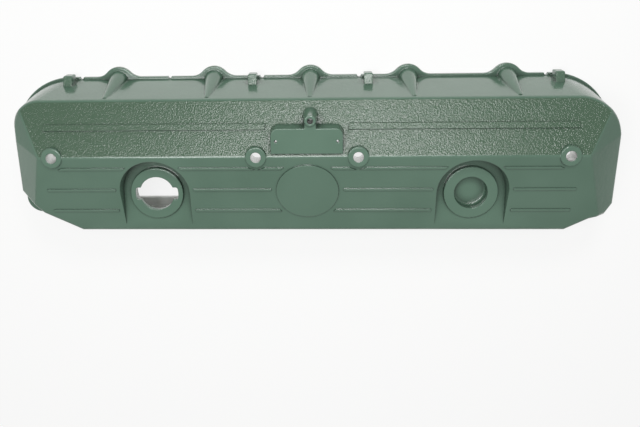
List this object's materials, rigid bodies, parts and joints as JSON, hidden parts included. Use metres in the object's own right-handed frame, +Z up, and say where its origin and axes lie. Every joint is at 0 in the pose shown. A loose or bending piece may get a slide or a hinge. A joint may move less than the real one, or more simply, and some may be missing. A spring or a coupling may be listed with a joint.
{
  "type": "engine valve cover",
  "caption": "One-piece cast cover for an overhead valve engine head, with a filler opening, a blank seat, bolt bosses and pushrod bulges.",
  "frame": {"origin": "centre of the bounding box in plan, on the gasket face", "axes": "+X along the cover towards the blank seat, +Y towards the bulged pushrod side, +Z up out of the roof"},
  "size_m": [0.7466, 0.1924, 0.1123],
  "materials": {
    "casting": "cast aluminium, glossy green enamel outside and bare inside"
  },
  "bodies": {
    "root": {"valve_cover": "casting"}
  },
  "joints": []
}
